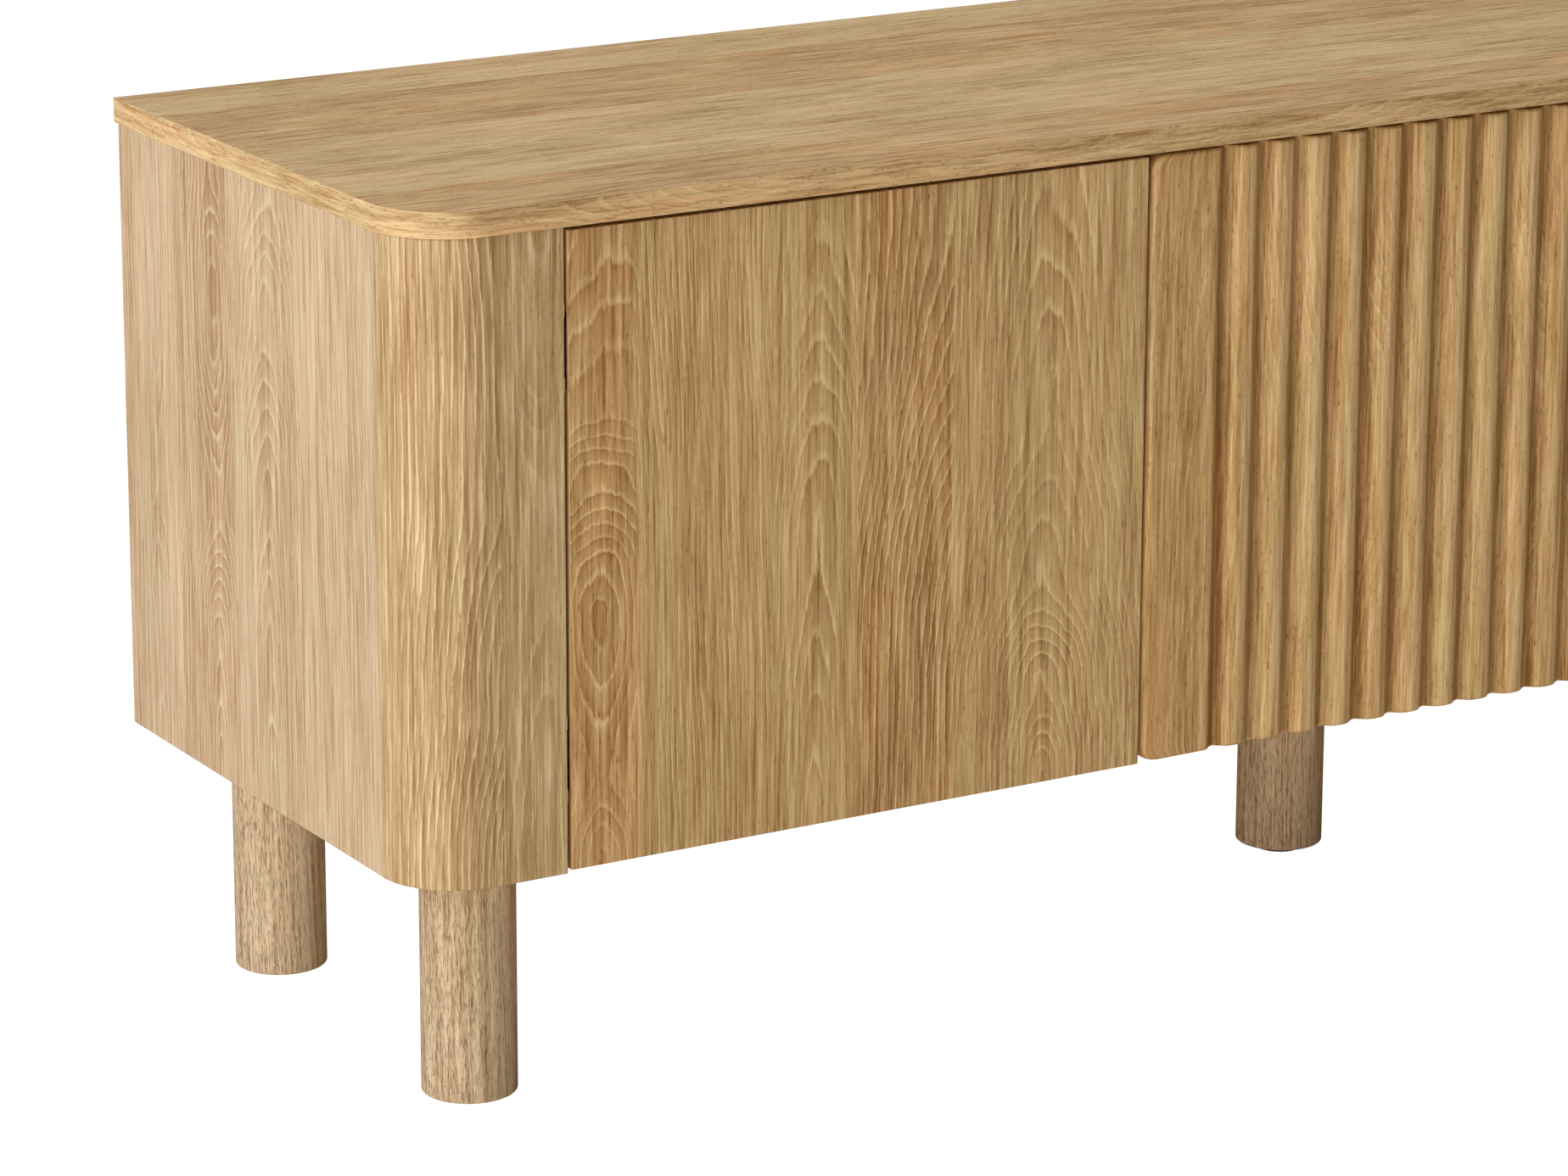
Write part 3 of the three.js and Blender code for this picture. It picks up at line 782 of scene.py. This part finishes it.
def side_strips(side):
    """The outside of a side panel from its front edge to its back edge."""
    if side < 0:
        return [
            Strip(192, 146, [(0, 6), (0.25, 14), (0.5, 24), (0.8, 40), (1, 52)], 0.0, 0.0, 0.1),
            Strip(78, 26, [(0, 3), (0.22, 14), (0.45, 34), (0.8, 12), (1, 26)], -0.10, 0.20, 0.2),
            Strip(58, 34, [(0, 8), (0.5, 22), (1, 10)], 0.02, -0.02, -0.04),
            Strip(20, 120, [(0, 40), (1, 50)], 0.0, 0.10),
        ]
    return [
        Strip(96, 60, [(0, 10), (0.5, 28), (1, 40)], 0.0, 0.05),
        Strip(110, 40, [(0, 40), (0.6, 16), (1, 8)], -0.04, 0.16),
        Strip(142, 190, [(0, 60), (1, 90)], 0.04, -0.06),
    ]


def post_strips():
    """The outside of a corner post, round its bend and up to the door."""
    return [
        Strip(20, 150, [(0, 40), (1, 52)], -0.04, 0.06, 0.0),
        Strip(62, 84, [(0, 14), (0.3, 34), (0.6, 50), (1, 50)], -0.04, 0.10, 0.38),
        Strip(42, 25, [(0, 24), (0.5, 36), (1, 14)], 0.02, 0.0, -0.2),
    ]


def flap_strips():
    """A leaf for each end band and each rib of the flap."""
    strips = [Strip(50, 58, [(0, 10), (0.4, 24), (1, 40)], -0.06, 0.18, 0.05)]
    for rib, (tone, warmth) in enumerate(zip(RIB_TONES, RIB_WARMTHS)):
        heart = 45 + 23 * (rib % 4)
        depths = [(0, 30), (0.5, 40 + 9 * (rib % 3)), (1, 24)]
        strips.append(Strip(RIB_PITCH / MM, heart, depths, tone, warmth))
    strips.append(Strip(50, -60, [(0, 20), (0.5, 34), (1, 18)], -0.08, 0.18))
    return strips


def top_strips():
    """The leaves of the top from its front edge to its back edge."""
    return [
        Strip(70, -18, [(0, 46), (0.3, 22), (0.55, 30), (0.8, 50), (1, 30)], -0.08, 0.26),
        Strip(150, 84, [(0, 26), (0.2, 12), (0.45, 30), (0.7, 46), (1, 20)], 0.04, -0.10),
        Strip(110, 40, [(0, 8), (0.25, 4), (0.6, 30), (1, 12)], -0.10, 0.20, 0.04),
        Strip(68, 120, [(0, 50), (1, 70)], 0.03, -0.06),
    ]


def band_strip():
    """The edge band of the top, from its back left corner over the front to the back right."""
    depths = [
        (0, 40), (0.08, 26), (0.2, 36), (0.28, 12), (0.335, 4), (0.40, 20), (0.6, 44), (0.7, 16),
        (0.85, 36), (1, 24),
    ]
    return Strip(16, 19, depths, -0.08, 0.04, 0.0)


def hole_round(socket):
    """The corners of the mortise round a hinge socket."""
    low, high = box(socket)
    grow = Vector((FIT, FIT, FIT))
    return low - grow, high + grow


def mortises_in(piece, front):
    """The two mortises in the edge of a door or post, and the holes in that edge's wall."""
    mortises = [hole_round(f"hinge_socket_{piece}_{place}") for place in ("lower", "upper")]
    return mortises, [((a.y - front, b.y - front), (a.z, b.z)) for a, b in mortises]


def close_ends(board, *heights):
    """Closes each open rim of a board that lies at one of these heights."""
    for height in heights:
        rim = [e for e in board.mesh.edges if e.is_boundary and
               all(abs(v.co.z - height) < NEAR for v in e.verts)]
        loop = ordered_rim(rim)
        if loop:
            board.cap([tuple(v.co) for v in loop])


def ordered_rim(edges):
    """The corners of one closed rim, in order."""
    if not edges:
        return []
    left = set(edges)
    edge = left.pop()
    loop = [edge.verts[0], edge.verts[1]]
    while left:
        following = next((e for e in loop[-1].link_edges if e in left), None)
        if following is None:
            break
        left.discard(following)
        loop.append(following.other_vert(loop[-1]))
    return loop[:-1] if loop[0] is loop[-1] else loop


def joint_at(y):
    """Tells of an edge whether it lies in a joint between two boards, at this y."""
    def in_joint(edge):
        return all(abs(v.co.y - y) < NEAR for v in edge.verts)
    return in_joint


def make_door(word, side, finish):
    low, high = box(f"door_{word}")
    outer, inner = (low.x, high.x) if side < 0 else (high.x, low.x)
    levels = spaced(low.z, high.z, BOARD_ROWS)
    board = Board(f"door_{word}_board")
    mortises, holes = mortises_in(f"door_{word}", low.y)
    board.wall([(outer, low.y), (inner, low.y)], door_strips(side), levels)
    board.wall([(inner, low.y), (inner, high.y)], [plain(-0.04, 0.1)], levels)
    inside = [plain(), plain(-0.06, 0.1), plain(0.05)]
    board.wall([(inner, high.y), (outer, high.y)], inside, levels)
    board.wall([(outer, low.y), (outer, high.y)], [plain(-0.02, 0.05)], levels, holes=holes)
    for a, b in mortises:
        board.pocket(a, b, outer)
    close_ends(board, low.z, high.z)
    board.done(finish, f"door_{word}", [f"door_{word}"])


def make_side_panel(word, side, finish):
    low, high = box(f"side_panel_{word}")
    outer, inner = (low.x, high.x) if side < 0 else (high.x, low.x)
    front = low.y - FIT  # the veneer meets that of the post
    levels = spaced(low.z, high.z, BOARD_ROWS)
    board = Board(f"side_panel_{word}_board")
    board.wall([(outer, front), (outer, high.y)], side_strips(side), levels)
    board.wall([(outer, high.y), (inner, high.y)], [plain(0.05, 0.1)], levels)
    inside = [plain(), plain(-0.03, 0.1), plain(0.04)]
    board.wall([(inner, high.y), (inner, front)], inside, levels)
    board.wall([(inner, front), (outer, front)], [plain()], levels)
    close_ends(board, low.z, high.z)
    board.done(finish, "cabinet", [f"side_panel_{word}"], soft=joint_at(front))


def make_post(word, side, finish):
    """A bent board. Its paths are drawn for the left side."""
    low, high = box(f"corner_post_{word}")
    levels = spaced(low.z, high.z, BOARD_ROWS)
    reach = max(abs(low.x), abs(high.x))
    inner_edge = -reach + (high.x - low.x)
    centre = (-reach + POST_RADIUS, low.y + POST_RADIUS)
    outer = arc(centre, POST_RADIUS, 180, 270, POST_OUTER_STEPS) + [(inner_edge, low.y)]
    bend = arc(centre, POST_RADIUS - PANEL, 270, 180, POST_INNER_STEPS)
    inner = [(inner_edge, low.y + PANEL)] + bend
    edge = [(inner_edge, low.y), (inner_edge, low.y + PANEL)]
    ends = [inner[-1], outer[0]]
    board = Board(f"corner_post_{word}_board")
    mortises, holes = mortises_in(f"post_{word}", low.y)
    board.wall(mirrored(outer, side), post_strips(), levels)
    board.wall(mirrored(edge, side), [plain(-0.02, 0.05)], levels, holes=holes)
    board.wall(mirrored(inner, side), [plain()], levels)
    board.wall(mirrored(ends, side), [plain()], levels)
    for a, b in mortises:
        board.pocket(a, b, -side * inner_edge)
    close_ends(board, low.z, high.z)
    board.done(finish, "cabinet", [f"corner_post_{word}"], soft=joint_at(centre[1]))


def flap_profile(half, front, back):
    """The flap's section in plan, from the back left corner over the front to the back right."""
    flank = (RIB_PITCH - RIB_FLAT) / 2
    r = FLAP_EDGE_RADIUS
    path = [(-half, back)] + arc((-half + r, front + r), r, 180, 270, FLAP_EDGE_STEPS)
    for valley in range(RIBS + 1):
        centre = (valley - RIBS / 2) * RIB_PITCH
        for step in range(-FLANK_STEPS, FLANK_STEPS + 1):
            share = step / FLANK_STEPS
            fall = (1 + math.cos(math.pi * share)) / 2
            depth = RIB_DOME + (RIB_DEPTH - RIB_DOME) * fall
            path.append((centre + share * flank, front + depth))
        if valley < RIBS:
            for step in range(1 - CREST_STEPS, CREST_STEPS):
                share = step / CREST_STEPS
                crest = centre + RIB_PITCH / 2 + share * RIB_FLAT / 2
                path.append((crest, front + RIB_DOME * share * share))
    return path + arc((half - r, front + r), r, 270, 360, FLAP_EDGE_STEPS) + [(half, back)]


def paint_valley_shade(board, front):
    """Painted shade: the colour in the valleys between the ribs is darkened, more the deeper down, for
    the shade that falls there.
    """
    fluted = (RIBS + 1) / 2 * RIB_PITCH
    for face in board.mesh.faces:
        for loop in face.loops:
            place = loop.vert.co
            depth = (place.y - front) / RIB_DEPTH
            if abs(place.x) < fluted and depth <= 1.01:
                shade = PAINTED_VALLEY_SHADE * max(0, depth) ** VALLEY_CURVE
                loop[board.mood] = loop[board.mood] - Vector((shade, 0, 0))


def flap_levels(low, high):
    """Heights between which the flap is drawn, closer where its corners and edges are round."""
    c, e = FLAP_CORNER_RADIUS, FLAP_END_ROUNDING
    steps = merge_stops(rounding(c, FLAP_CORNER_STEP), rounding(e, FLAP_END_STEP))
    lower = [low + step for step in steps]
    upper = [high - step for step in reversed(steps)]
    return lower + spaced(low + c, high - c, FLAP_ROWS)[1:-1] + upper


def make_flap(finish):
    low, high = FLAP_LOW, FLAP_HIGH
    half, front, back = high.x, low.y, high.y
    c, e = FLAP_CORNER_RADIUS, FLAP_END_ROUNDING
    levels = flap_levels(low.z, high.z)

    def place(x, y, z):
        """Rounds the four corners of the face, and the front's upper and lower edges."""
        reach = min(z - low.z, high.z - z)
        inset = c - math.sqrt(max(0, c * c - (c - min(reach, c)) ** 2))
        lean = e - math.sqrt(max(0, e * e - (e - min(reach, e)) ** 2))
        if abs(x) > half - 3 * c:
            x = math.copysign(abs(x) - inset * min(1, (abs(x) - half + 3 * c) / (2 * c)), x)
        return Vector((x, min(back, y + lean * (back - y) / (back - front)), z))

    board = Board("flap_board")
    path = flap_profile(half, front, back)
    board.wall(path, flap_strips(), levels, place=place)
    inside = [plain(), plain(-0.04, 0.1), plain(0.04)]
    board.wall([path[-1], path[0]], inside, levels, place=place)
    close_ends(board, low.z, high.z)
    # paints shade into the colour of the valleys between the ribs
    paint_valley_shade(board, front)
    board.done(finish, "flap", ["flap_door"], arris=0, sharp_from=FLAP_SHARP)


def top_half_width(y):
    """Half the top's width at a y, which is less where its front corners are round."""
    r = TOP_CORNER_RADIUS
    return TOP_HIGH.x - r + math.sqrt(max(0, r * r - max(0, TOP_LOW.y + r - y) ** 2))


def top_face(board, strip, seam, scale, corners):
    """One face of the top's upper leaf and one of its lower leaf."""
    low, high = TOP_LOW, TOP_HIGH
    for z, offset in ((high.z, 0), (low.z, UNDERSIDE)):
        grains = []
        for x, y in corners:
            share = (x - low.x) / (high.x - low.x)
            grains.append(strip.grain((y - seam) / scale, x + offset, share))
        board.face([(x, y, z) for x, y in corners], grains, strip.mood)


def make_top(finish):
    """Board with veneer that runs along X, and an edge band that runs round it."""
    low, high = TOP_LOW, TOP_HIGH
    r = TOP_CORNER_RADIUS
    bend = [low.y + r * (1 - math.sin(math.radians(t))) for t in reversed(TOP_CORNER_ANGLES)]
    strips = top_strips()
    scale = (high.y - low.y) / sum(strip.width for strip in strips)
    seams = seam_places(strips, scale, low.y)
    rows = merge_stops(bend, [*spaced(low.y + r, high.y, TOP_ROWS), *seams])
    columns = [2 * share - 1 for share in spaced(0, 1, TOP_COLUMNS)]
    board = Board("top_board")
    for y0, y1 in zip(rows, rows[1:]):
        index = leaf_at(seams, (y0 + y1) / 2)
        half0, half1 = top_half_width(y0), top_half_width(y1)
        for c0, c1 in zip(columns, columns[1:]):
            corners = [(c0 * half0, y0), (c1 * half0, y0), (c1 * half1, y1), (c0 * half1, y1)]
            top_face(board, strips[index], seams[index], scale, corners)
    heights = [low.z, high.z]
    left = [(-top_half_width(y), y) for y in reversed(rows)]
    front = [(c * top_half_width(low.y), low.y) for c in columns]
    right = [(-x, y) for x, y in reversed(left)]
    back = [(c * top_half_width(high.y), high.y) for c in columns]
    board.wall(left + front[1:] + right[1:], [band_strip()], heights, along="path")
    board.wall(back, [plain(0, 0.1)], heights, along="path")
    board.done(finish, "cabinet", ["top_panel"])


def leg_profile(low, high, radius):
    """The outside of a leg as (radius, height), from its rounded lower edge up."""
    edge = LEG_ROUNDING
    angles = [math.radians(t) for t in range(0, 91, LEG_EDGE_STEP)]
    lower = [(radius - edge * (1 - math.sin(t)), low + edge * (1 - math.cos(t))) for t in angles]
    return lower + [(radius, z) for z in spaced(low + edge, high, LEG_ROWS)[1:]]


def leg_bore(word, low):
    """The radius and the upper end of the hole in a leg's foot."""
    if word == "centre":
        return FOOT_BORE_RADIUS, low + FOOT_BORE_DEPTH
    glide_low, glide_high = box(f"glide_{word}")
    return (glide_high.x - glide_low.x) / 2 + FIT, low + GLIDE_BORE_DEPTH


def make_leg(word, finish):
    """A turned leg: solid oak, so its rings run through it, with a rounded lower edge."""
    low, high = box(f"leg_{word}")
    centre = (low + high) / 2
    profile = leg_profile(low.z, high.z, (high.x - low.x) / 2)
    lean = 0.02 + 0.015 * math.sin(7 * (centre.x + centre.y))  # each leg's own slant of the grain
    board = Board(f"leg_{word}_post")

    def grain(p):
        x, y = p[0] - centre.x, p[1] - centre.y
        across = x + 0.055 + lean * p[2] + centre.y
        return Vector((across, y + 0.018, p[2] + 3 * centre.x + centre.y))

    def point(ring, i):
        r, z = ring
        angle = 2 * math.pi * i / LEG_SIDES
        return (centre.x + r * math.cos(angle), centre.y + r * math.sin(angle), z)

    def face(places):
        corners = [point(ring, i) for ring, i in places]
        board.face(corners, [grain(p) for p in corners], LEG_MOOD)

    def band(ring0, ring1):
        for i in range(LEG_SIDES):
            face([(ring0, i), (ring0, i + 1), (ring1, i + 1), (ring1, i)])

    for ring0, ring1 in zip(profile, profile[1:]):
        band(ring0, ring1)
    bore_radius, bore_top = leg_bore(word, low.z)
    mouth, roof = (bore_radius, low.z), (bore_radius, bore_top)
    band(profile[0], mouth)
    band(mouth, roof)
    for ring in (roof, profile[-1]):
        face([(ring, i) for i in range(LEG_SIDES)])
    board.done(finish, "cabinet", [f"leg_{word}"], arris=0, sharp_from=LEG_SHARP)


# ---------------------------------------------------------------- finishes on the CAD's own nodes

DRESS_SHARP = 40  # degrees
INSIDE_SHADES = ((178, 142, 98), (205, 173, 126), (226, 196, 150))


def dress(names, finish, arris):
    """Gives CAD nodes their finish and a small rounding of their edges."""
    for name in names:
        node = nodes[name]
        node.data.materials.clear()
        node.data.materials.append(finish)
        bevel = node.modifiers.new("arris", "BEVEL")
        bevel.limit_method = "ANGLE"
        bevel.angle_limit = math.radians(DRESS_SHARP)
        bevel.width = arris
        bevel.segments = ARRIS_SEGMENTS
        bevel.harden_normals = True
        for face in node.data.polygons:
            face.use_smooth = True


def named(*starts):
    return sorted(name for name in nodes if name.startswith(starts))


def carcass_oaks():
    """The oak of the top, the side panels and the corner posts."""
    top = oak("oak_top", (162, 126, 86), (208, 178, 135), (231, 204, 163), lines=0.4, fibres=1.3,
              broad=1.1, warm=0.9, pores=1.7, roughness=0.62, relief=0.55, short=2.6)
    side = oak("oak_side", (163, 130, 98), (198, 173, 145), (220, 199, 173), lines=0.62, fibres=1.3,
               broad=0.9, warm=0.45, pores=0.8, roughness=0.6, relief=0.7, short=1.5)
    post = oak("oak_post", (148, 115, 75), (185, 157, 118), (226, 203, 168), ring=4.0, lines=0.5,
               fibres=1.35, broad=0.5, warm=0.5, pores=0.8, roughness=0.56, relief=1.3, short=1.3)
    return top, side, post


def front_oaks():
    """The oak of the doors, the flap and the legs."""
    door = oak("oak_door", (144, 104, 61), (194, 162, 116), (231, 204, 158), lines=0.5, fibres=1.15,
               broad=0.6, warm=1.0, pores=0.9, roughness=0.58, relief=0.9, short=1.4)
    flap = oak("oak_flap", (143, 102, 52), (202, 168, 119), (241, 215, 174), lines=0.24, fibres=0.9,
               broad=0.5, warm=0.6, pores=0.9, roughness=0.54, relief=0.6, short=1.6)
    leg = oak("oak_leg", (140, 103, 64), (209, 184, 154), (238, 219, 196), ring=2.6, lines=0.12,
              fibres=1.0, broad=0.4, warm=0.5, pores=0.4, roughness=0.58, relief=3.4, brushed=0.65,
              solid=True)
    return door, flap, leg


def make_outside():
    top, side, post = carcass_oaks()
    door, flap, leg = front_oaks()
    make_top(top)
    for word, sign in SIDES.items():
        make_side_panel(word, sign, side)
        make_post(word, sign, post)
        make_door(word, sign, door)
    make_flap(flap)
    for word in ("front_left", "front_right", "rear_left", "rear_right", "centre"):
        make_leg(word, leg)


def dress_inside():
    level = oak("oak_inside_level", *INSIDE_SHADES, run="x")
    upright = oak("oak_inside_upright", *INSIDE_SHADES, run="z")
    zinc = steel("zinc_steel", (176, 178, 180), 0.34)
    dark = steel("dark_steel", (84, 86, 90), 0.42)
    grey = plastic("grey_plastic", (140, 142, 144), 0.5)
    black = plastic("dark_plastic", (38, 38, 40), 0.55)
    dress(["bottom_panel", *named("shelf_")], level, 0.5 * MM)
    dress(named("divider_", "post_batten_"), upright, 0.5 * MM)
    dress(["back_panel"], hardboard("backing_board"), 0.3 * MM)
    dress(named("hinge_socket_", "flap_hinge_", "stay_"), zinc, 0.2 * MM)
    dress(named("hinge_link_"), dark, 0.3 * MM)
    dress(named("latch_"), grey, 0.4 * MM)
    dress(named("cable_outlet_", "glide_", "levelling_foot_"), black, 0.4 * MM)


make_camera()
make_world()
make_lights()
make_floor()
make_outside()
dress_inside()
